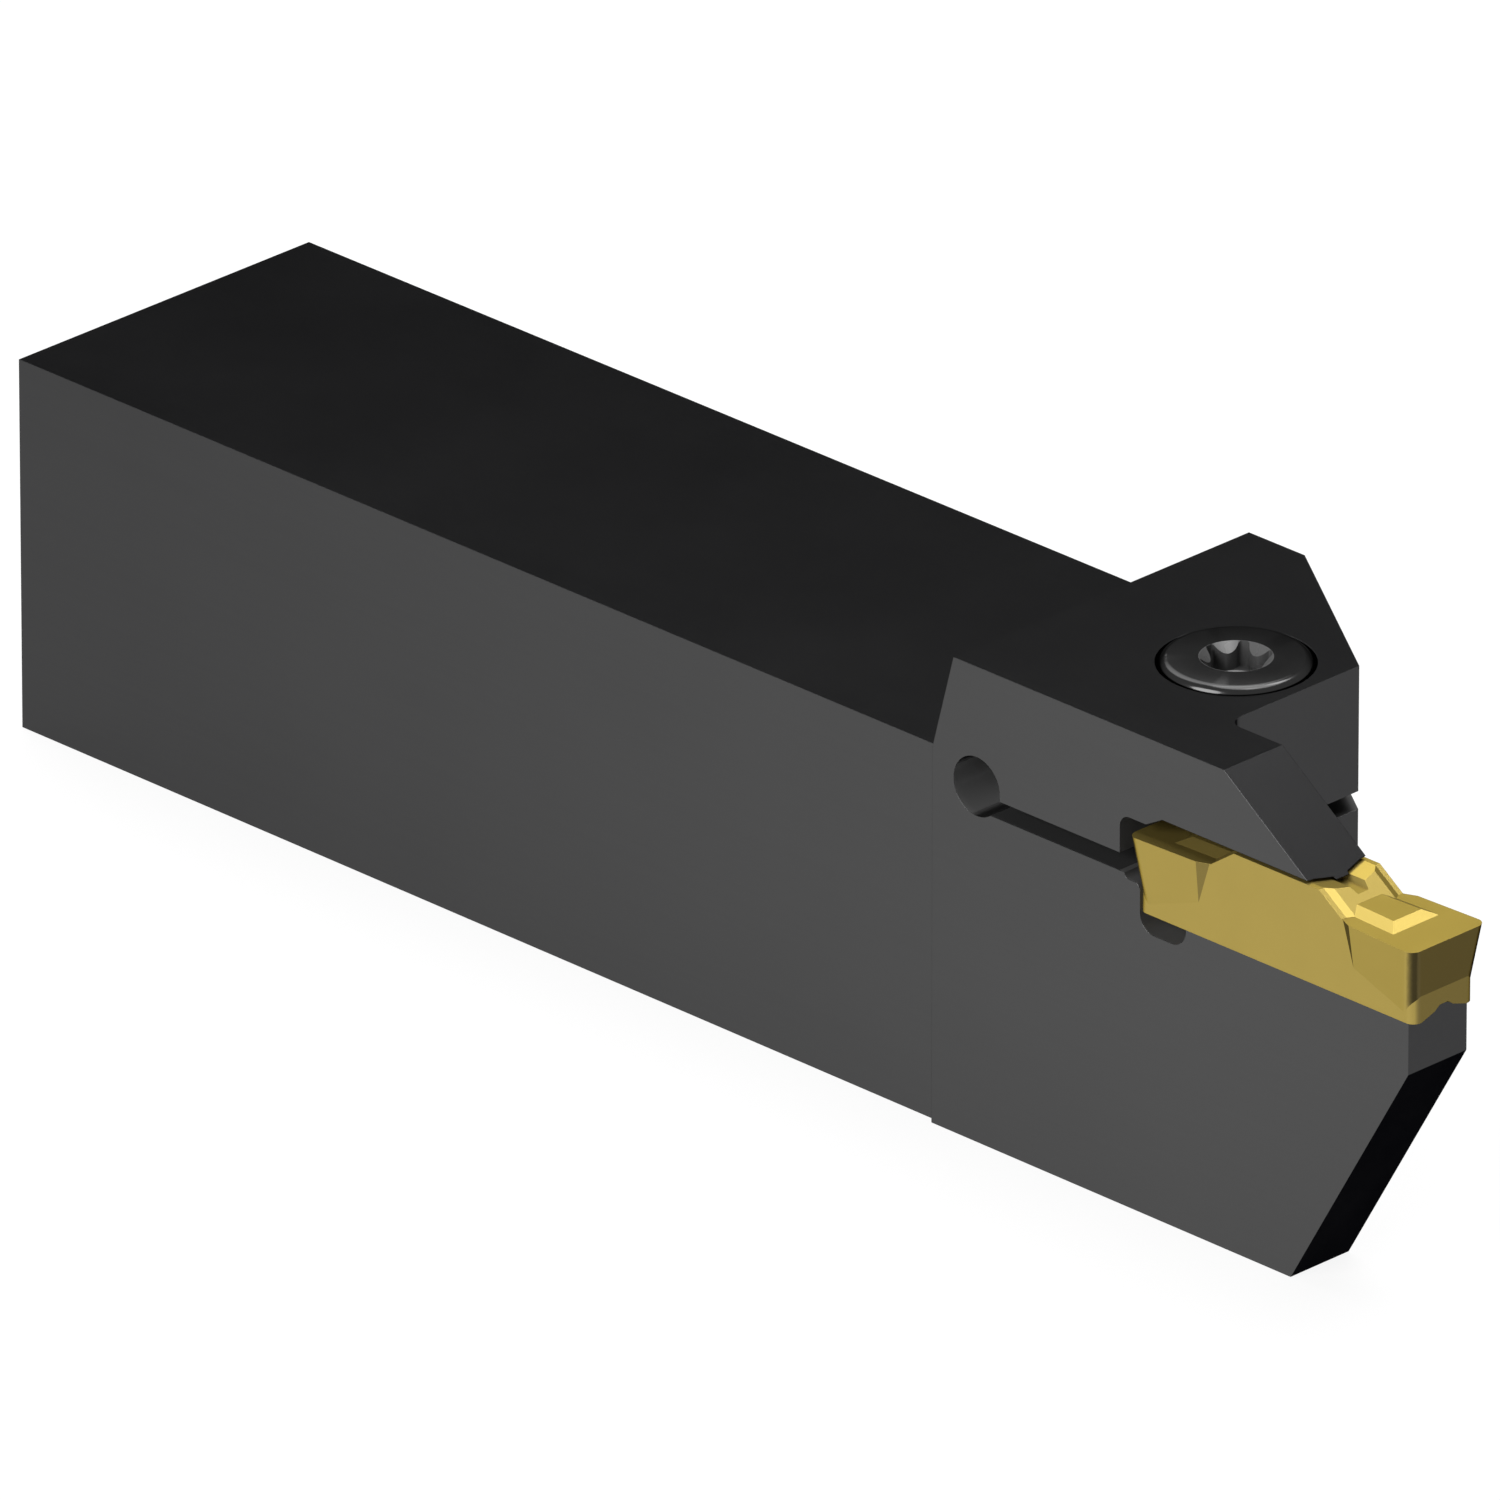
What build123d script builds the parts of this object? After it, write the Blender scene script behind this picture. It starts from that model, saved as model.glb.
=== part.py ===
"""Parting tool holder: a square shank with a sprung clamping jaw, its screw and its insert."""
import os
from math import cos, radians, sin, tan

from build123d import *

os.makedirs("parts", exist_ok=True)

# Sizes are in millimetres. The origin is the centre of the shank's flat base, +X runs along
# the shank to the cutting end, +Z is up, and the blade is on the -Y side, the near side.

# Shank
shank_length = 79.66
shank_width = 25.0
shank_height = 25.0

# Head: taller than the shank, a little proud of its near side, with a sloping rear
# face and its far front corner cut away
head_length = 19.87
head_height = 31.58
head_step = 0.43
head_ramp_run = 1.77
corner_cut_length = 13.40
corner_cut_width = 9.09

# Blade that carries the insert, and the jaw above it, both of one thickness
blade_thickness = 5.01
blade_nose_height = 16.63
blade_nose_run = 9.60
blade_root_radius = 1.10
blade_setback = 0.51
seat_height = 20.06
jaw_front_run = 6.97
jaw_tip_setback = 1.09

# Insert: outline seen from above, measured from the cutting edge
insert_length = 23.72
insert_width = 6.44
insert_body_width = 5.21
edge_taper = 2.63
relief_length = 5.50
run_out_angle = 24.0
run_out_root_depth = 0.70
corner_radius = 0.70
foot_setback = 0.42
foot_corner_radius = 0.60

# Insert: heights above the seat, and the clearance under its cutting edges
edge_height = 5.035
rail_height = 6.36
clearance_angle = 7.3

# Insert: ramp behind the cutting face, with two sunk strips beside a raised middle
ramp_setback = 6.10
ramp_angle = 34.8
strip_drop = 0.21
ramp_middle_width = 3.47
shoulder_gap = 4.46

# Insert: clamping vee on top, with a slot along its middle
vee_drop = 0.24
slot_mouth_width = 1.30
slot_floor_width = 0.90
slot_depth = 0.37

# Insert: chip former, a low table on the cutting face
former_setback = 2.77
former_width = 3.92
former_rise = 0.387
former_flank_angle = 62.3

# Insert: groove along the underside, in two slopes up to a narrow roof
groove_width = 3.80
groove_knee_width = 1.60
groove_roof_width = 0.70
groove_knee_depth = 0.36
groove_depth = 0.68

# Jaw's underside: lips that stay clear, flanks that press on the vee up to a little behind
# the jaw's tip, and a rib that lies in the slot without touching it
jaw_lip_gap = 0.18
jaw_tip_relief = 0.80
jaw_lip_slope = 0.04
jaw_lip_width = 0.30
jaw_contact_inset = 0.18
jaw_rib_depth = 0.15
jaw_rib_clearance = 0.05

# Ridge on the seat, narrower than the insert's groove
ridge_clearance = 0.15

# Pocket for the insert's rear end
pocket_setback = 2.35
pocket_side_gap = 0.70
pocket_headroom = 0.755
pocket_roof_radius = 0.80
pocket_roof_run = 1.35
jaw_pad_setback = 0.53
rear_edge_gap = 1.30
rear_ledge_gap = 0.90
back_wall_height = 1.69
back_wall_radius = 0.45
ledge_radius = 0.40

# Rounded relief in front of the back wall, so that the insert's corner stays clear
seat_relief_length = 3.85
seat_relief_depth = 1.36
seat_relief_radius = 1.20

# Slit that frees the jaw, and the round hole at its end
slit_floor_height = 22.10
slit_gap = 1.18
relief_hole_diameter = 3.9
relief_hole_setback = 3.76
relief_hole_rise = 0.97

# Clamp screw
screw_diameter = 5.0
screw_length = 16.0
screw_tip_chamfer = 0.5
screw_head_diameter = 9.40
screw_head_height = 4.40
screw_head_rise = 0.37
screw_head_radius = 0.55
screw_setback = 5.65
screw_inset = 11.55

# Six-lobe socket in the screw's head
socket_lobes = 6
socket_width = 4.50
socket_waist = 3.20
socket_ridge_radius = 0.92
socket_lobe_radius = 0.20
socket_depth = 1.67
socket_mouth_angle = 50.0
socket_turn = 1.4
drill_point_angle = 118.0

# Holes for the screw
counterbore_clearance = 0.21
screw_hole_clearance = 0.25
thread_clearance = 0.05
thread_run_out = 1.0
tap_drill_diameter = 4.2
tap_drill_run_out = 2.0

# Places of the holder's faces
head_rear_x = shank_length / 2
front_face_x = head_rear_x + head_length
near_y = -shank_width / 2 - head_step
far_y = shank_width / 2
blade_mid_y = near_y + blade_thickness / 2
blade_far_y = near_y + blade_thickness
head_width = far_y - near_y

# Places along the insert, which stands with its rear foot against the back wall
back_wall_x = front_face_x - pocket_setback
rear_edge_x = back_wall_x - foot_setback
insert_mid_x = rear_edge_x + insert_length / 2
cutting_edge_x = rear_edge_x + insert_length
front_foot_x = cutting_edge_x - foot_setback
ramp_foot_x = cutting_edge_x - ramp_setback
ramp_slope = tan(radians(ramp_angle))
ramp_rise = rail_height - edge_height + strip_drop
ramp_crest_x = ramp_foot_x - ramp_rise / ramp_slope

# Heights above the seat of the insert's clamping vee
vee_foot_height = rail_height - vee_drop
vee_slope = vee_drop / (shoulder_gap / 2 - slot_mouth_width / 2)
slot_floor_height = vee_foot_height - slot_depth
slot_wall_run = (slot_mouth_width - slot_floor_width) / 2 / slot_depth

# Faces of the blade and the jaw
blade_front_x = front_foot_x - blade_setback
lip_height = rail_height + jaw_lip_gap
rib_height = vee_foot_height - jaw_rib_depth
jaw_slope = jaw_front_run / (head_height - seat_height - lip_height)
jaw_tip_x = ramp_crest_x - jaw_tip_setback
jaw_top_x = jaw_tip_x - jaw_front_run
rib_tip_x = jaw_tip_x + (lip_height - rib_height) * jaw_slope

# Pocket, slit and screw
pocket_far_y = blade_mid_y + insert_width / 2 + pocket_side_gap
jaw_pad_x = front_face_x - jaw_pad_setback
relief_front_x = back_wall_x + seat_relief_length
slit_mid_height = slit_floor_height + slit_gap / 2
relief_hole_x = head_rear_x + relief_hole_setback
screw_x = front_face_x - screw_setback
screw_y = near_y + screw_inset
screw_top_height = head_height + screw_head_rise
screw_seat_height = screw_top_height - screw_head_height
screw_tip_height = screw_seat_height - screw_length
drill_point_slope = tan(radians(drill_point_angle / 2))

# Workplanes: the head's near side, and a section across the insert whose own origin
# is on the seat, midway across the blade
near_side = Plane.XZ.offset(-near_y)


def across_insert(x):
    """Section plane at x, looking along +X, with (0, 0) on the seat's centre line."""
    return Plane(origin=(x, blade_mid_y, seat_height), x_dir=(0, 1, 0), z_dir=(1, 0, 0))


def both_sides(half):
    """Outline made of a half outline and its mirror image, in one round."""
    return half + [(-across, height) for across, height in reversed(half)]


# Holder body: shank, head, blade and jaw in one piece of steel
with BuildPart() as holder_body:
    # Plan of the head and the blade, with the fillet at the blade's root
    with BuildSketch():
        with BuildLine():
            FilletPolyline(
                (head_rear_x, near_y),
                (blade_front_x, near_y),
                (blade_front_x, blade_far_y),
                (front_face_x, blade_far_y),
                (front_face_x, far_y - corner_cut_width),
                (front_face_x - corner_cut_length, far_y),
                (head_rear_x, far_y),
                radius=(0, 0, 0, blade_root_radius, 0, 0, 0),
                close=True,
            )
        make_face()
    extrude(amount=head_height)

    # Side view: rear slope, jaw, opening for the insert and blade
    with BuildSketch(near_side):
        with BuildLine():
            Polyline(
                (head_rear_x, 0),
                (head_rear_x, shank_height),
                (head_rear_x + head_ramp_run, head_height),
                (jaw_top_x, head_height),
                (rib_tip_x, seat_height + rib_height),
                (front_face_x, seat_height + rib_height),
                (front_face_x, seat_height),
                (blade_front_x, seat_height),
                (blade_front_x, blade_nose_height),
                (blade_front_x - blade_nose_run, 0),
                close=True,
            )
        make_face()
    extrude(amount=-head_width, mode=Mode.INTERSECT)

    # Shank
    with BuildSketch(Plane.YZ.offset(-head_rear_x)):
        Rectangle(shank_width, shank_height, align=(Align.CENTER, Align.MIN))
    extrude(amount=shank_length)

    # Pocket for the insert's rear end, open to the near side
    with BuildSketch(near_side):
        with BuildLine():
            roof_height = seat_height + edge_height + pocket_headroom
            FilletPolyline(
                (rear_edge_x - rear_edge_gap, slit_mid_height),
                (rear_edge_x - rear_edge_gap, roof_height),
                (jaw_pad_x - pocket_roof_run, roof_height),
                (jaw_pad_x, seat_height + lip_height),
                (jaw_pad_x, seat_height + rib_height),
                (relief_front_x, seat_height + rib_height),
                (relief_front_x, seat_height - seat_relief_depth),
                (back_wall_x, seat_height - seat_relief_depth),
                (back_wall_x, seat_height + back_wall_height),
                (rear_edge_x - rear_ledge_gap, seat_height + back_wall_height),
                (rear_edge_x - rear_ledge_gap, slit_mid_height),
                radius=(
                    0,
                    pocket_roof_radius,
                    0,
                    0,
                    0,
                    0,
                    seat_relief_radius,
                    seat_relief_radius,
                    back_wall_radius,
                    ledge_radius,
                    0,
                ),
                close=True,
            )
        make_face()
    extrude(amount=near_y - pocket_far_y, mode=Mode.SUBTRACT)

    # Underside of the jaw: the lips, then the flank and the foot of the rib
    clear_of_jaw = pocket_far_y - blade_mid_y
    rib_root = slot_mouth_width / 2 - jaw_rib_clearance
    jaw_lip = [
        (clear_of_jaw, rib_height),
        (clear_of_jaw, lip_height),
        (blade_thickness / 2, lip_height),
        (blade_thickness / 2 - jaw_lip_width, lip_height - jaw_lip_slope),
    ]
    jaw_flank = [
        (shoulder_gap / 2 - jaw_contact_inset, rail_height - jaw_contact_inset * vee_slope),
        (rib_root, vee_foot_height - jaw_rib_clearance * vee_slope),
        (rib_root - jaw_rib_depth * slot_wall_run, rib_height),
    ]
    with BuildSketch(across_insert(jaw_pad_x)):
        with BuildLine():
            Polyline(*jaw_lip, *jaw_flank, close=True)
        make_face()
        mirror(about=Plane.YZ)
    extrude(amount=rib_tip_x - jaw_pad_x, mode=Mode.SUBTRACT)

    # Relief under the jaw's tip, where the flanks and the rib are raised to the lips
    raised_flank = [(across, height + jaw_lip_gap) for across, height in jaw_flank]
    with BuildSketch(across_insert(jaw_tip_x - jaw_tip_relief)):
        with BuildLine():
            Polyline(*both_sides(jaw_lip + raised_flank), close=True)
        make_face()
    extrude(amount=rib_tip_x - jaw_tip_x + jaw_tip_relief, mode=Mode.SUBTRACT)

    # Ridge along the seat
    with BuildSketch(across_insert(relief_front_x)):
        with BuildLine():
            Polyline(
                *both_sides(
                    [
                        (groove_width / 2 - ridge_clearance, 0),
                        (groove_knee_width / 2 - ridge_clearance, groove_knee_depth),
                        (groove_roof_width / 2, groove_depth - ridge_clearance),
                    ]
                ),
                close=True,
            )
        make_face()
    extrude(amount=blade_front_x - relief_front_x)

    # Slit and relief hole, across the whole head
    with BuildSketch(near_side):
        with Locations((relief_hole_x, slit_mid_height)):
            Rectangle(relief_front_x - relief_hole_x, slit_gap, align=(Align.MIN, Align.CENTER))
        with Locations((relief_hole_x, slit_mid_height + relief_hole_rise)):
            Circle(relief_hole_diameter / 2)
    extrude(amount=-head_width, mode=Mode.SUBTRACT)

    # Counterbored hole through the jaw
    with Locations((screw_x, screw_y, head_height)):
        CounterBoreHole(
            radius=screw_diameter / 2 + screw_hole_clearance,
            counter_bore_radius=screw_head_diameter / 2 + counterbore_clearance,
            counter_bore_depth=head_height - screw_seat_height,
            depth=head_height - slit_mid_height,
        )

    # Tapped hole below the slit, and the deeper drilling that it was tapped in
    thread_floor_height = screw_tip_height - thread_run_out
    with Locations((screw_x, screw_y, slit_floor_height)):
        Hole(
            radius=screw_diameter / 2 + thread_clearance,
            depth=slit_floor_height - thread_floor_height,
        )
    with Locations((screw_x, screw_y, thread_floor_height)):
        Hole(radius=tap_drill_diameter / 2, depth=tap_drill_run_out)
    with Locations((screw_x, screw_y, thread_floor_height - tap_drill_run_out)):
        Cone(
            bottom_radius=0,
            top_radius=tap_drill_diameter / 2,
            height=tap_drill_diameter / 2 / drill_point_slope,
            align=(Align.CENTER, Align.CENTER, Align.MAX),
            mode=Mode.SUBTRACT,
        )

# Clamp screw: turned blank with a low cylindrical head and a six-lobe socket
with BuildPart() as clamp_screw:
    with BuildSketch(Plane.XY.offset(screw_tip_height)):
        with Locations((screw_x, screw_y)):
            Circle(screw_diameter / 2)
    extrude(amount=screw_length)
    chamfer(clamp_screw.edges().sort_by(Axis.Z)[0], screw_tip_chamfer)
    with BuildSketch(Plane.XY.offset(screw_seat_height)):
        with Locations((screw_x, screw_y)):
            Circle(screw_head_diameter / 2)
    extrude(amount=screw_head_height)
    fillet(clamp_screw.edges().sort_by(Axis.Z)[-1], screw_head_radius)

    # Socket: a round hole with ridges left standing in it
    with BuildSketch(Plane.XY.offset(screw_top_height)) as socket:
        with Locations((screw_x, screw_y)):
            Circle(socket_width / 2)
            ridge_centre = socket_waist / 2 + socket_ridge_radius
            first_ridge = socket_turn + 360 / socket_lobes / 2
            with PolarLocations(ridge_centre, socket_lobes, start_angle=first_ridge):
                Circle(socket_ridge_radius, mode=Mode.SUBTRACT)
        fillet(socket.vertices(), socket_lobe_radius)
    extrude(amount=-socket_depth, mode=Mode.SUBTRACT)

    # Cone at the socket's mouth, and the drill point at its floor
    mouth_depth = (socket_width - socket_waist) / 2 / tan(radians(socket_mouth_angle))
    with Locations((screw_x, screw_y, screw_top_height)):
        Cone(
            bottom_radius=socket_waist / 2,
            top_radius=socket_width / 2,
            height=mouth_depth,
            align=(Align.CENTER, Align.CENTER, Align.MAX),
            mode=Mode.SUBTRACT,
        )
    with Locations((screw_x, screw_y, screw_top_height - socket_depth)):
        Cone(
            bottom_radius=0,
            top_radius=socket_waist / 2,
            height=socket_waist / 2 / drill_point_slope,
            align=(Align.CENTER, Align.CENTER, Align.MAX),
            mode=Mode.SUBTRACT,
        )

# Parting insert: the front half is made, and its mirror image is the rear half
with BuildPart() as parting_insert:
    # Top rail with the clamping vee and its slot
    with BuildSketch(across_insert(insert_mid_x)):
        with BuildLine():
            Polyline(
                *both_sides(
                    [
                        (insert_body_width / 2, 0),
                        (insert_body_width / 2, rail_height),
                        (shoulder_gap / 2, rail_height),
                        (slot_mouth_width / 2, vee_foot_height),
                        (slot_floor_width / 2, slot_floor_height),
                    ]
                ),
                close=True,
            )
        make_face()
    extrude(amount=ramp_foot_x - insert_mid_x)

    # Ramp down to the cutting face, its middle higher than the strips beside it
    with BuildSketch(across_insert(ramp_foot_x)):
        with BuildLine():
            Polyline(
                *both_sides(
                    [
                        (insert_width / 2, rail_height),
                        (insert_width / 2, edge_height - strip_drop),
                        (shoulder_gap / 2, edge_height - strip_drop),
                        (ramp_middle_width / 2, edge_height),
                    ]
                ),
                close=True,
            )
        make_face()
    up_the_ramp = (-cos(radians(ramp_angle)), 0, sin(radians(ramp_angle)))
    extrude(amount=ramp_rise / sin(radians(ramp_angle)), dir=up_the_ramp, mode=Mode.SUBTRACT)

    # Cutting head: wider than the body, narrowing backwards and downwards
    with BuildSketch(Plane.XY.offset(seat_height + edge_height)):
        with BuildLine():
            edge_half = insert_width / 2
            relief_half = edge_half - relief_length * tan(radians(edge_taper))
            root_half = insert_body_width / 2 - run_out_root_depth
            relief_rear_x = cutting_edge_x - relief_length
            root_x = relief_rear_x - (relief_half - root_half) / tan(radians(run_out_angle))
            Polyline(
                (root_x, blade_mid_y - root_half),
                (relief_rear_x, blade_mid_y - relief_half),
                (cutting_edge_x, blade_mid_y - edge_half),
                (cutting_edge_x, blade_mid_y + edge_half),
                (relief_rear_x, blade_mid_y + relief_half),
                (root_x, blade_mid_y + root_half),
                close=True,
            )
        make_face()
    extrude(amount=-edge_height, taper=clearance_angle)
    # The two corners lie just behind the cutting edge, which is the foremost edge
    corners = parting_insert.edges().sort_by(Axis.X)[-3:-1]
    fillet(corners, corner_radius)

    # Body, down to the foot that stands on the seat
    with BuildSketch(Plane.XY.offset(seat_height)):
        with BuildLine():
            body_half = insert_body_width / 2
            FilletPolyline(
                (insert_mid_x, blade_mid_y - body_half),
                (front_foot_x, blade_mid_y - body_half),
                (front_foot_x, blade_mid_y + body_half),
                (insert_mid_x, blade_mid_y + body_half),
                radius=(0, foot_corner_radius, foot_corner_radius, 0),
                close=True,
            )
        make_face()
    extrude(amount=edge_height)

    # Chip former on the cutting face, its root hidden in the ramp
    with BuildSketch(Plane.XY.offset(seat_height + edge_height)):
        with BuildLine():
            former_front_x = cutting_edge_x - former_setback
            hidden_run = (former_rise + strip_drop) / ramp_slope
            flank_run = former_rise * tan(radians(former_flank_angle))
            former_rear_x = ramp_foot_x - hidden_run - flank_run
            narrowing = (former_front_x - former_rear_x) * tan(radians(edge_taper))
            Polyline(
                (former_rear_x, blade_mid_y - former_width / 2 + narrowing),
                (former_front_x, blade_mid_y - former_width / 2),
                (former_front_x, blade_mid_y + former_width / 2),
                (former_rear_x, blade_mid_y + former_width / 2 - narrowing),
                close=True,
            )
        make_face()
    extrude(amount=former_rise, taper=former_flank_angle)

    # Groove along the underside
    with BuildSketch(across_insert(insert_mid_x)):
        with BuildLine():
            Polyline(
                *both_sides(
                    [
                        (groove_width / 2, 0),
                        (groove_knee_width / 2, groove_knee_depth),
                        (groove_roof_width / 2, groove_depth),
                    ]
                ),
                close=True,
            )
        make_face()
    extrude(amount=insert_length / 2, mode=Mode.SUBTRACT)

    # Rear half
    mirror(about=Plane.YZ.offset(insert_mid_x))

holder_body.part.label = "holder_body"
clamp_screw.part.label = "clamp_screw"
parting_insert.part.label = "parting_insert"

export_step(holder_body.part, "parts/holder_body.step")
export_step(clamp_screw.part, "parts/clamp_screw.step")
export_step(parting_insert.part, "parts/parting_insert.step")
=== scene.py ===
"""Parting tool holder: blackened steel, a threaded clamp screw and a gold-coated insert."""
import math

import bmesh
import bpy
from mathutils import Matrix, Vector


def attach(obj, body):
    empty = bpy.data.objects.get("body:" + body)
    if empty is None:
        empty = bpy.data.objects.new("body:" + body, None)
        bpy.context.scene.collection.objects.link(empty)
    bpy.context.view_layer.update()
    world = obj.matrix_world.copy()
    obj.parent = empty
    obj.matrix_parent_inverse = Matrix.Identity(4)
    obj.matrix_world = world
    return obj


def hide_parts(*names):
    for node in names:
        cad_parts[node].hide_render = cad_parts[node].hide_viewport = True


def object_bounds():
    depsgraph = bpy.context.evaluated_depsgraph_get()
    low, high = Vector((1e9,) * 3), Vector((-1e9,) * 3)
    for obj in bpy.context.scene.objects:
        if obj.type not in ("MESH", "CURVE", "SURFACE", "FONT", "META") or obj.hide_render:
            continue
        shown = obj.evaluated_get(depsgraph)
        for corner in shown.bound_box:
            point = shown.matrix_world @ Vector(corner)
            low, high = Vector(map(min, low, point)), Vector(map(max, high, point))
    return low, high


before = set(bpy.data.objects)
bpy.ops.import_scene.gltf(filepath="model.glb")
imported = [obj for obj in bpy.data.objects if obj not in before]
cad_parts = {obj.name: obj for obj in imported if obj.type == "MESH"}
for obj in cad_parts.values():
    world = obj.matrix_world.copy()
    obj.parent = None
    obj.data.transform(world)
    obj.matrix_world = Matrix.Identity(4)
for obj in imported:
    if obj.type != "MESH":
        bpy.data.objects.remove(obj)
solid_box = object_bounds()

# Camera: a long lens above the cutting end, on the side of the blade, looking back along
# the shank. All lengths in this file are in metres, apart from the lens and its film width,
# which are in millimetres.
camera_place = Vector((1.373455, -1.362056, 0.909424))
camera_turn = math.radians(45)
camera_tilt = math.radians(25)
lens_length, film_width = 835.08, 36
nearest_shown, farthest_shown = 0.1, 60

camera = bpy.data.objects.new("camera", bpy.data.cameras.new("camera"))
camera.data.sensor_width = film_width
camera.data.lens = lens_length
camera.data.clip_start = nearest_shown
camera.data.clip_end = farthest_shown
camera.location = camera_place
camera.rotation_euler = (math.pi / 2 - camera_tilt, 0, camera_turn)
bpy.context.scene.collection.objects.link(camera)
bpy.context.scene.camera = camera
bpy.context.scene.view_settings.view_transform = "Standard"


# Floor: a wide sheet of white paper that the tool stands on. To the eye and to polished
# steel it looks nearly white, and it keeps the tool's soft shadow.
class Reading:
    """A value that differs from place to place. Sums and comparisons of readings add Math
    nodes."""

    def __init__(self, finish, socket):
        self.finish = finish
        self.socket = socket

    def maths(self, operation, *values):
        """Any one Math node."""
        return self.finish.add("Math", {"operation": operation}, dict(enumerate(values)))

    def __add__(self, other):
        return self.maths("ADD", self, other)

    def __radd__(self, other):
        return self.maths("ADD", other, self)

    def __sub__(self, other):
        return self.maths("SUBTRACT", self, other)

    def __rsub__(self, other):
        return self.maths("SUBTRACT", other, self)

    def __mul__(self, other):
        return self.maths("MULTIPLY", self, other)

    def __rmul__(self, other):
        return self.maths("MULTIPLY", other, self)

    def __gt__(self, other):
        return self.maths("GREATER_THAN", self, other)

    def __lt__(self, other):
        return self.maths("LESS_THAN", self, other)

    def __abs__(self):
        return self.maths("ABSOLUTE", self)

    def squared(self):
        """The reading times itself."""
        return self * self

    def or_more(self, other):
        """The larger of two readings."""
        return self.maths("MAXIMUM", self, other)


class Finish:
    """The nodes of one finish, for a material or for the world."""

    def __init__(self, owner):
        owner.use_nodes = True
        self.tree = owner.node_tree
        self.tree.nodes.clear()

    def add(self, kind, settings=None, sockets=None, outlet=0):
        """Adds a node: first its settings, then the values or readings of its sockets."""
        node = self.tree.nodes.new("ShaderNode" + kind)
        for name, value in (settings or {}).items():
            setattr(node, name, value)
        for name, value in (sockets or {}).items():
            if isinstance(value, Reading):
                self.tree.links.new(value.socket, node.inputs[name])
            else:
                node.inputs[name].default_value = value
        if node.outputs:
            return Reading(self, node.outputs[outlet])


def seen_directly(finish):
    """1 where a ray from the eye, from a reflection or through glass meets the surface."""
    eye = finish.add("LightPath", outlet="Is Camera Ray")
    gloss = finish.add("LightPath", outlet="Is Glossy Ray")
    through = finish.add("LightPath", outlet="Is Transmission Ray")
    return eye.or_more(gloss).or_more(through)


floor_radius, floor_sides = 8, 96
floor_drop = 0.00002
paper_white = (0.30, 0.30, 0.30, 1)
paper_glow = 0.6
paper_brightness = 1.5
pure_white = (1, 1, 1, 1)

floor_mesh = bmesh.new()
bmesh.ops.create_circle(floor_mesh, cap_ends=True, radius=floor_radius, segments=floor_sides)
bmesh.ops.translate(floor_mesh, verts=floor_mesh.verts, vec=(0, 0, -floor_drop))
floor = bpy.data.objects.new("floor", bpy.data.meshes.new("floor"))
floor_mesh.to_mesh(floor.data)
bpy.context.scene.collection.objects.link(floor)

paper = bpy.data.materials.new("paper")
sheet = Finish(paper)
paper_surface = sheet.add("BsdfDiffuse", sockets={"Color": paper_white})
paper_light = sheet.add("Emission", sockets={"Color": pure_white, "Strength": paper_brightness})
light_share = seen_directly(sheet) * paper_glow
paper_shown = sheet.add("MixShader", sockets={0: light_share, 1: paper_surface, 2: paper_light})
sheet.add("OutputMaterial", sockets={"Surface": paper_shown})
floor.data.materials.append(paper)

# Room: plain soft daylight. Its walls are pale all round, and polished steel shows them as a
# light grey. To the eye they are as white as the floor.
room_light = 0.03
wall_white = 0.50

room = bpy.data.worlds.new("room")
bpy.context.scene.world = room
air = Finish(room)
soft_light = air.add("Background", sockets={"Color": pure_white, "Strength": room_light})
eye = air.add("LightPath", outlet="Is Camera Ray")
wall_shown = wall_white + eye * (1 - wall_white)
pale_walls = air.add("Background", sockets={"Color": pure_white, "Strength": wall_shown})
room_seen = air.add("MixShader", sockets={0: seen_directly(air), 1: soft_light, 2: pale_walls})
air.add("OutputWorld", sockets={"Surface": room_seen})

# Lamps: five round soft boxes. One hangs overhead, one stands behind the tool and one before
# the blade's side. Two small ones, beyond the far side and high over the cutting end, pick
# out the slopes of that end.
tool_middle = (solid_box[0] + solid_box[1]) / 2


def soft_box(name, turn, tilt, distance, size, power):
    """Round lamp aimed at the tool, placed by its direction round it and above the floor.
    Angles are in degrees, and power is in watts."""
    lamp = bpy.data.objects.new(name, bpy.data.lights.new(name, "AREA"))
    lamp.data.shape = "DISK"
    lamp.data.size = size
    lamp.data.energy = power
    turn, tilt = math.radians(turn), math.radians(tilt)
    reach = math.cos(tilt)
    aim = Vector((math.sin(turn) * reach, -math.cos(turn) * reach, math.sin(tilt)))
    lamp.location = tool_middle + aim * distance
    lamp.rotation_euler = (-aim).to_track_quat("-Z", "Y").to_euler()
    lamp.visible_camera = False
    bpy.context.scene.collection.objects.link(lamp)


soft_box("box_overhead", turn=166, tilt=77, distance=1.2, size=1.105, power=9.8)
soft_box("box_behind", turn=243, tilt=50, distance=1.2, size=1.04, power=7.1)
soft_box("box_near_side", turn=0, tilt=20, distance=1.4, size=1.103, power=20.7)
soft_box("box_far_side", turn=171, tilt=57.5, distance=1.2, size=0.41, power=1.7)
soft_box("box_high", turn=100, tilt=74, distance=1.2, size=0.30, power=0.5)

# Holder: shank, head, blade and sprung jaw, milled from one bar of tool steel and blackened
# in a hot bath, which leaves a thin satin skin. Its sides are ground and are painted paler,
# partly as ground steel and partly as painted light. The slit, its hole and the pocket are cut
# last and are bare, dull steel, painted paler still with painted light that lifts their shade.
milled_black = (0.0425, 0.0425, 0.0435, 1)
# The ground sides' paler black, partly painted light.
ground_black_and_light = (0.086, 0.086, 0.086, 1)
# Bare steel, painted paler with painted light, in the slit, the pocket and the hole.
bare_and_lit_steel = (0.16, 0.16, 0.16, 1)
reamed_and_lit_steel = (0.24, 0.24, 0.24, 1)
worn_edge = (0.10, 0.10, 0.10, 1)
dark_glance = (0.32, 0.32, 0.32, 1)
blade_face_y = -0.01293
hole_x, hole_z, hole_radius = 0.04359, 0.02366, 0.00195
slit_middle_z, slit_half = 0.02269, 0.00059
pocket_x, pocket_z, pocket_far_y = (0.0556, 0.0614), (0.0186, 0.0262), -0.0065
margin = 0.00002


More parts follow.
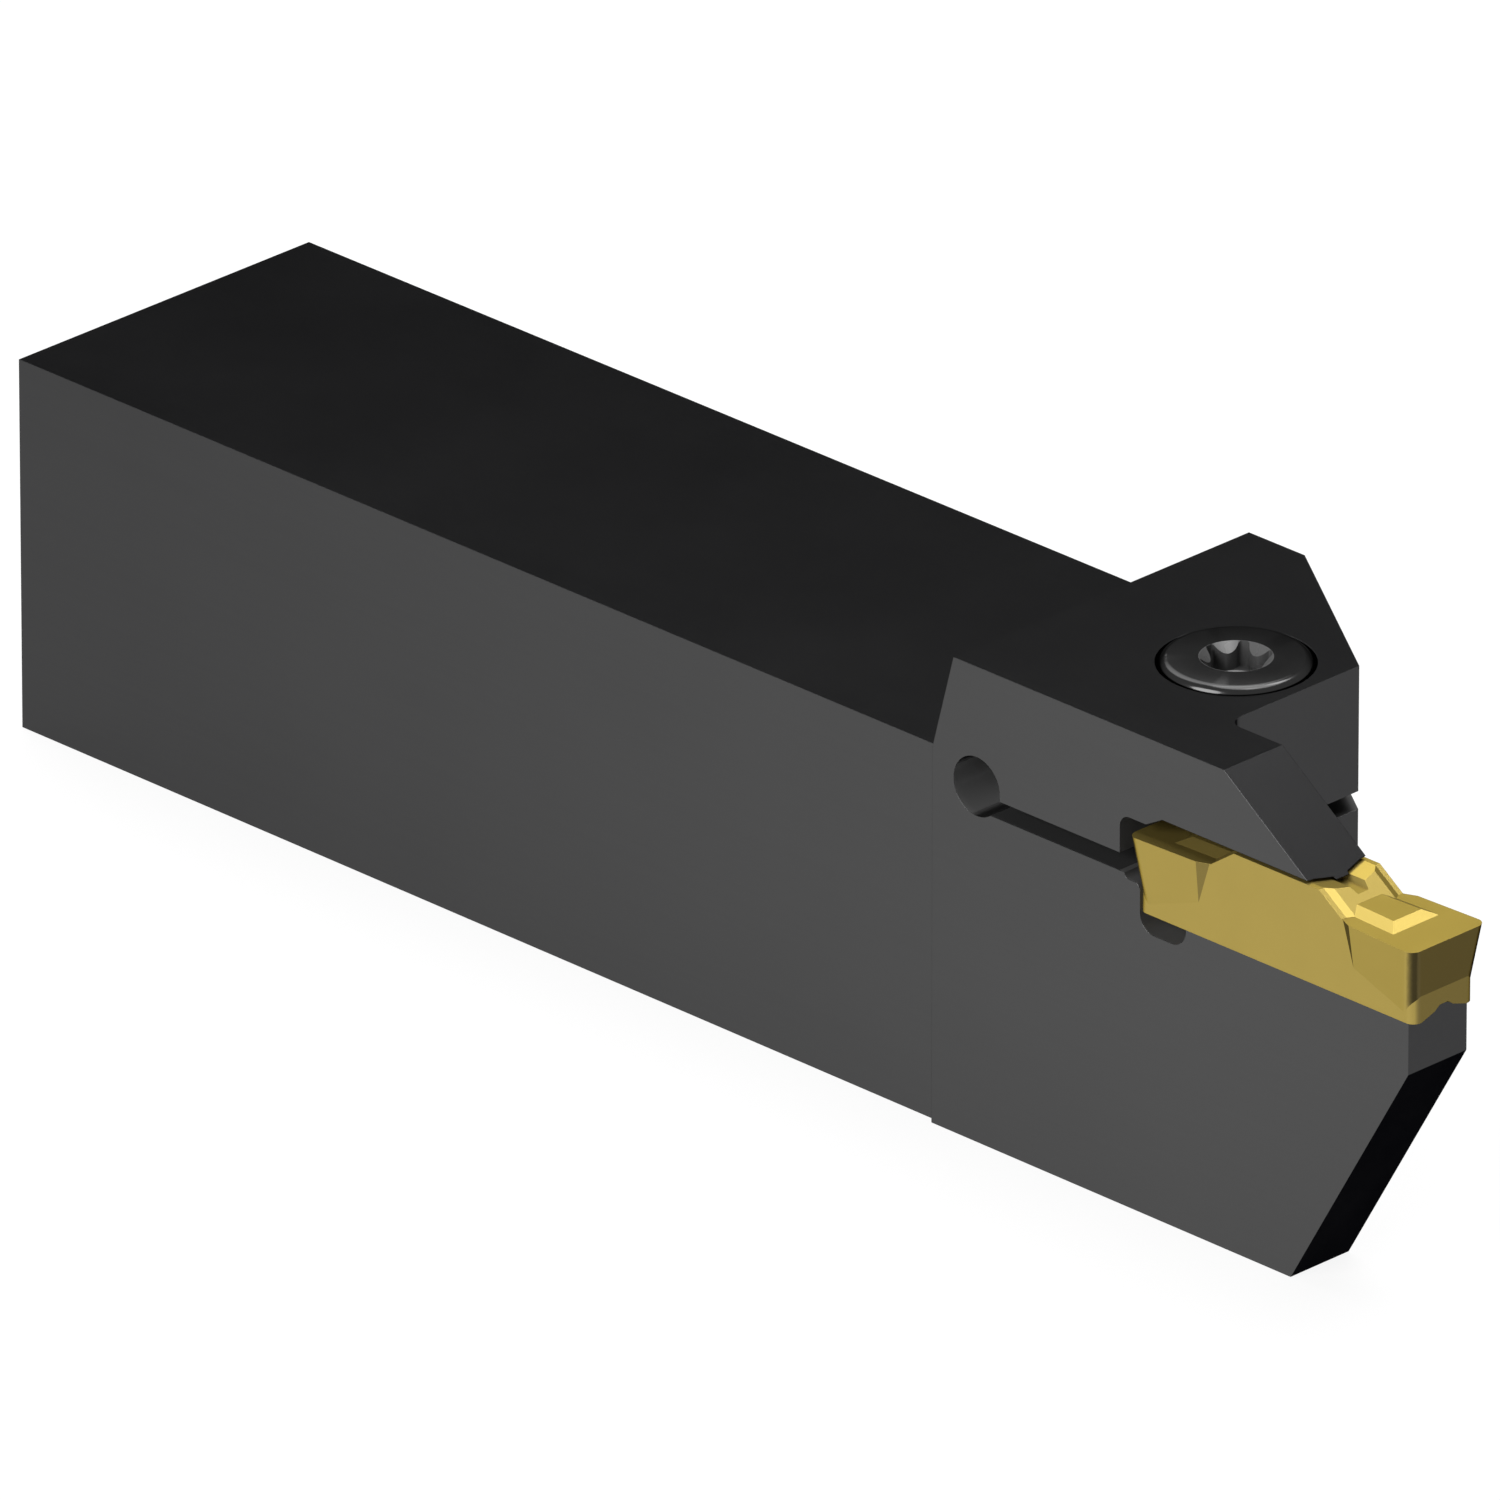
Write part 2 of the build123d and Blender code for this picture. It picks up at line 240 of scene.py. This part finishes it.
def along(finish, vector, axes="XYZ"):
    """A vector's readings, one along each axis."""
    return [finish.add("SeparateXYZ", sockets={"Vector": vector}, outlet=axis) for axis in axes]


def noise(finish, vector, scale, detail, roughness=0.5):
    """Soft random pattern with values from 0 to 1."""
    sockets = {"Vector": vector, "Scale": scale, "Detail": detail, "Roughness": roughness}
    return finish.add("TexNoise", sockets=sockets)


def fade(finish, value, start, end, most=1.0):
    """Rises evenly from 0, where the value is at its start, to most, where it is at its end."""
    sockets = {"Value": value, "From Min": start, "From Max": end, "To Max": most}
    return finish.add("MapRange", sockets=sockets)


def blend(finish, share, first, second):
    """Colour between two colours."""
    return finish.add("Mix", {"data_type": "RGBA"}, {0: share, 6: first, 7: second}, 2)


def softened_edges(finish, radius, samples=4):
    """The surface's direction, turned a little where an edge is broken."""
    return finish.add("Bevel", {"samples": samples}, {"Radius": radius})


def metal(finish, colour, metallic, roughness, glance, relief):
    """Shows a metal surface. Relief tilts it, and glance is the tint of its shine at shallow
    angles."""
    surface = finish.add(
        "BsdfPrincipled",
        sockets={
            "Base Color": colour,
            "Metallic": metallic,
            "Roughness": roughness,
            "Specular IOR Level": 0.0,
            "Specular Tint": glance,
            "Normal": relief,
        },
    )
    finish.add("OutputMaterial", sockets={"Surface": surface})


def cover(node, material):
    """Gives a solid of the frame one material all over."""
    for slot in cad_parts[node].material_slots:
        slot.material = material


holder_skin = bpy.data.materials.new("blackened_steel")
skin = Finish(holder_skin)
place = skin.add("TexCoord", outlet="Object")
x, y, z = along(skin, place)
forward, sideways, upward = along(skin, skin.add("TexCoord", outlet="Normal"))

# The hot bath leaves faint patches and a fine grain, and the grinding wheel leaves marks that
# run along the shank.
marks_along, marks_across = 60, 4200
marks_scale = (marks_along, marks_across, marks_across)
patches = noise(skin, place, scale=70, detail=4, roughness=0.6)
grain = noise(skin, place, scale=5000, detail=2)
along_shank = skin.add("Mapping", sockets={"Vector": place, "Scale": marks_scale})
grinding = noise(skin, along_shank, scale=1, detail=3, roughness=0.6)
patch_share, grinding_share, grain_share = 0.5, 0.35, 0.15
shade = patches * patch_share + grinding * grinding_share + grain * grain_share

# The ground sides are a little paler than the rest, partly as ground steel and partly as
# painted light. A painted light also grows on them towards the blade, and less of it on the
# tops.
square_on = 0.9
light_rise_from_x, light_rise_full_x = -0.030, 0.060
side_least, side_light_rise, top_light_rise, shade_share = 0.23, 0.56, 0.22, 0.25
ground = abs(sideways) > square_on
topside = upward > square_on
# Painted light that grows towards the blade, on the sides and the tops.
painted_light_rise = fade(skin, x, light_rise_from_x, light_rise_full_x)
ground_and_light_share = ground * (side_least + painted_light_rise * side_light_rise) + topside * painted_light_rise * top_light_rise

# The slit, its hole and the pocket are bare behind the blade's face, and painted paler with
# painted light that lifts their shade, the slit less so. The hole's floor and roof, which here
# lean a little towards the slit, are painted darker again with painted shade.
floor_rise, floor_lean = 0.9, 0.43
# Painted shade on the hole's floor and roof.
hole_shade_from, hole_shade_full, hole_shade_share = 0.76, 0.92, 0.8
slit_share = 0.6
in_hole = (x - hole_x).squared() + (z - hole_z).squared() < (hole_radius + margin) ** 2
floor_or_roof = abs(upward * floor_rise - forward * floor_lean)
hole_painted_shade = fade(skin, floor_or_roof, hole_shade_from, hole_shade_full)
in_slit = (abs(z - slit_middle_z) < slit_half + margin) * (x > hole_x)
in_pocket = (x > pocket_x[0]) * (x < pocket_x[1]) * (y < pocket_far_y)
in_pocket = in_pocket * (z > pocket_z[0]) * (z < pocket_z[1])
behind_face = y > blade_face_y + margin
in_hole = in_hole * (1 - hole_painted_shade * hole_shade_share) * behind_face
# Where bare steel and painted light lift the slit, its hole and the pocket.
cut_last_and_lit = in_hole.or_more((in_slit * slit_share).or_more(in_pocket) * behind_face)

# Sharp edges are worn a little paler, in specks.
edge_radius = 0.00005
wear_from, wear_full, most_wear = 0.995, 0.80, 0.25
edge_break = softened_edges(skin, edge_radius)
directions = {0: edge_break, 1: skin.add("NewGeometry", outlet="Normal")}
across_edge = skin.add("VectorMath", {"operation": "DOT_PRODUCT"}, directions, "Value")
wear = fade(skin, across_edge, wear_from, wear_full, most_wear)

skin_colour = blend(skin, ground_and_light_share + shade * shade_share, milled_black, ground_black_and_light)
skin_colour = blend(skin, wear * grain, skin_colour, worn_edge)
skin_colour = blend(skin, cut_last_and_lit, skin_colour, bare_and_lit_steel)
skin_colour = blend(skin, in_hole, skin_colour, reamed_and_lit_steel)
relief_strength, relief_depth = 0.12, 0.00002
grinding_height, grain_height = 0.6, 0.4
skin_relief = skin.add(
    "Bump",
    sockets={
        "Strength": relief_strength,
        "Distance": relief_depth,
        "Height": grinding * grinding_height + grain * grain_height,
        "Normal": edge_break,
    },
)
satin, patch_satin, cut_satin, cut_dullness = 0.13, 0.05, 0.15, 0.6
satin_here = satin + patches * patch_satin + cut_last_and_lit * cut_satin
shine = 1.0 - cut_last_and_lit * cut_dullness
metal(skin, skin_colour, shine, satin_here, dark_glance, skin_relief)
cover("holder_body", holder_skin)

# Clamp screw: a turned cap screw of blackened steel with a broached six-lobe socket, which
# pulls the jaw down on the insert. The key has rubbed the socket's walls bare, and the socket
# is painted paler still with painted light that lifts its shade.
screw_x, screw_y = 0.05405, -0.00138
socket_mouth_radius = 0.00225
turned_dark = (0.050, 0.050, 0.050, 1)
turned_pale = (0.061, 0.061, 0.061, 1)
# Rubbed bare steel, painted paler with painted light.
rubbed_and_lit_steel = (0.13, 0.13, 0.13, 1)

screw_skin = bpy.data.materials.new("screw_steel")
turned = Finish(screw_skin)
spot = turned.add("TexCoord", outlet="Object")
across, away, up = along(turned, spot)
from_axis = (across - screw_x).squared() + (away - screw_y).squared()
from_axis = from_axis.maths("SQRT", from_axis)
lathe_path = turned.add("CombineXYZ", sockets={"X": from_axis, "Z": up})
rings = noise(turned, lathe_path, scale=14000, detail=2)
mottle = noise(turned, spot, scale=400, detail=3)
in_socket = from_axis < socket_mouth_radius + margin

mottle_share, ring_share = 0.6, 0.4
turned_shade = mottle * mottle_share + rings * ring_share
turned_colour = blend(turned, turned_shade, turned_dark, turned_pale)
# The socket's rubbed walls, with painted light.
turned_colour = blend(turned, in_socket, turned_colour, rubbed_and_lit_steel)
ring_strength, ring_depth = 0.10, 0.00001
turned_relief = turned.add(
    "Bump", sockets={"Strength": ring_strength, "Distance": ring_depth, "Height": rings}
)
turned_satin, mottle_satin, rubbed_satin, rubbed_dullness = 0.15, 0.05, 0.10, 0.5
satin_here = turned_satin + mottle * mottle_satin + in_socket * rubbed_satin
shine = 1.0 - in_socket * rubbed_dullness
metal(turned, turned_colour, shine, satin_here, dark_glance, turned_relief)

# The thread: one pitch of its outline wound up into a right-hand helix, cut level at both
# ends, faded out under the neck and chamfered at the tip.
thread_pitch, thread_turns, thread_steps = 0.0008, 21, 48
crest_radius, root_radius, tip_radius = 0.0025, 0.00202, 0.00195
flank_starts, crest_starts, crest_ends = 0.25, 0.5625, 0.6875
neck_z, thread_top_z, tip_z = 0.02625, 0.02605, 0.01155
turns_below_tip = 1.5
thread_fade, tip_trim = 0.0016, 0.0001
sharp_from = math.radians(30)
# Points nearer than these, to each other or to the cut, count as one or as on it.
sliver, spin_gap, mesh_gap, cut_gap = 0.000005, 1e-6, 1e-7, 1e-8


def in_order(shape):
    """Puts a shape's points, edges and faces in order of place. A spin leaves them in an order
    that changes from run to run, and with it the way in which some faces are split."""
    kinds = [
        (shape.verts, lambda vert: tuple(vert.co)),
        (shape.edges, lambda edge: sorted(tuple(vert.co) for vert in edge.verts)),
        (shape.faces, lambda face: tuple(face.calc_center_median())),
    ]
    for parts, place_of in kinds:
        for index, part in enumerate(sorted(parts, key=place_of)):
            part.index = index
        parts.sort()


def cut_level(shape, height, upward):
    """Cuts a shape level and keeps what is below the cut, or above it if upward is -1."""
    bmesh.ops.bisect_plane(
        shape,
        geom=shape.verts[:] + shape.edges[:] + shape.faces[:],
        dist=cut_gap,
        plane_co=(0, 0, height),
        plane_no=(0, 0, upward),
        clear_outer=True,
    )


def rim(shape, height):
    """Open edges of a shape that lie at one height."""

    def level(edge):
        return all(abs(vert.co.z - height) < sliver for vert in edge.verts)

    return [edge for edge in shape.edges if edge.is_boundary and level(edge)]


thread = bmesh.new()
outline = [
    (root_radius, 0),
    (root_radius, flank_starts),
    (crest_radius, crest_starts),
    (crest_radius, crest_ends),
    (root_radius, 1),
]
start_z = tip_z - turns_below_tip * thread_pitch
points = [
    thread.verts.new((screw_x + radius, screw_y, start_z + part * thread_pitch))
    for radius, part in outline
]
runs = [thread.edges.new(pair) for pair in zip(points, points[1:])]
bmesh.ops.spin(
    thread,
    geom=points + runs,
    cent=(screw_x, screw_y, 0),
    axis=(0, 0, 1),
    dvec=(0, 0, thread_pitch / thread_steps),
    angle=math.tau * thread_turns,
    steps=thread_turns * thread_steps,
)
bmesh.ops.remove_doubles(thread, verts=thread.verts, dist=spin_gap)
in_order(thread)
cut_level(thread, thread_top_z, 1)
cut_level(thread, tip_z + tip_trim, -1)
bmesh.ops.remove_doubles(thread, verts=thread.verts, dist=sliver)
for vert in thread.verts:
    out = Vector((vert.co.x - screw_x, vert.co.y - screw_y))
    depth = (crest_radius - out.length) * min(1, (thread_top_z - vert.co.z) / thread_fade)
    out *= min(crest_radius - depth, tip_radius + vert.co.z - tip_z) / out.length
    vert.co.x, vert.co.y = screw_x + out.x, screw_y + out.y
tip = bmesh.ops.create_circle(thread, cap_ends=True, radius=tip_radius, segments=thread_steps)
bmesh.ops.translate(thread, verts=tip["verts"], vec=(screw_x, screw_y, tip_z))
bmesh.ops.bridge_loops(thread, edges=rim(thread, tip_z) + rim(thread, tip_z + tip_trim))
thread_mesh = bpy.data.meshes.new("thread")
thread.to_mesh(thread_mesh)

# The head and neck are a merged copy of the solid, cut off just above the thread.
cap_screw = bmesh.new()
cap_screw.from_mesh(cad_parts["clamp_screw"].data)
bmesh.ops.remove_doubles(cap_screw, verts=cap_screw.verts, dist=mesh_gap)
cut_level(cap_screw, neck_z, -1)
cap_screw.from_mesh(thread_mesh)
bmesh.ops.bridge_loops(cap_screw, edges=rim(cap_screw, neck_z) + rim(cap_screw, thread_top_z))
bmesh.ops.recalc_face_normals(cap_screw, faces=cap_screw.faces)
for face in cap_screw.faces:
    face.smooth = True
screw = bpy.data.objects.new("cap_screw", bpy.data.meshes.new("cap_screw"))
cap_screw.to_mesh(screw.data)
screw.data.attributes.remove(screw.data.attributes["custom_normal"])
screw.data.set_sharp_from_angle(angle=sharp_from)
screw.data.materials.append(screw_skin)
bpy.context.scene.collection.objects.link(screw)
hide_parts("clamp_screw")
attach(screw, "root")

# Insert: pressed and sintered hard metal with a cutting edge at each end, under a thin
# gold-coloured coating. The jaw holds it down and against the pocket's back wall.
pale_gold = (0.38, 0.287, 0.077, 1)
rich_gold = (0.41, 0.309, 0.083, 1)
# Darker ground ends, with painted shade.
ground_end_and_shade = (0.132, 0.103, 0.042, 1)
# Painted shade for the relief face's corners.
painted_corner_shade = (0.030, 0.024, 0.010, 1)
no_glance = (0, 0, 0, 1)

coating = bpy.data.materials.new("gold_coating")
gold = Finish(coating)
point = gold.add("TexCoord", outlet="Object")
tint = noise(gold, point, scale=300, detail=4)
pores = noise(gold, point, scale=9000, detail=2)

# The coating is darker on the ground ends, and painted darker still there with painted shade:
# on the foot, which faces the end squarely, on the relief face under the cutting edge, which
# leans back, and most at that face's corners, where the darkness is only painted shade.
heading, rising = along(gold, gold.add("TexCoord", outlet="Normal"), "XZ")
foot_from, foot_full, foot_share = 0.80, 0.985, 0.7
relief_from, relief_full, lean_back = 0.20, 0.75, -0.06
corner_from, corner_full, corner_share = 0.985, 0.90, 0.75
endways = abs(heading)
leans_back = rising < lean_back
foot_face = fade(gold, endways, foot_from, foot_full) * foot_share * (1 - leans_back)
relief_face = fade(gold, endways, relief_from, relief_full) * leans_back
corner = fade(gold, endways, corner_from, corner_full) * relief_face * corner_share
gold_colour = blend(gold, tint, pale_gold, rich_gold)
# Ground ends darkened, partly with painted shade.
gold_colour = blend(gold, foot_face + relief_face, gold_colour, ground_end_and_shade)
# Painted shade at the relief face's corners.
gold_colour = blend(gold, corner, gold_colour, painted_corner_shade)

insert_edge_radius = 0.000025
pore_strength, pore_depth = 0.10, 0.00001
gold_relief = gold.add(
    "Bump",
    sockets={
        "Strength": pore_strength,
        "Distance": pore_depth,
        "Height": pores,
        "Normal": softened_edges(gold, insert_edge_radius),
    },
)
gold_shine, gold_satin, tint_satin = 0.70, 0.27, 0.06
satin_here = gold_satin + tint * tint_satin
metal(gold, gold_colour, gold_shine, satin_here, no_glance, gold_relief)
cover("parting_insert", coating)
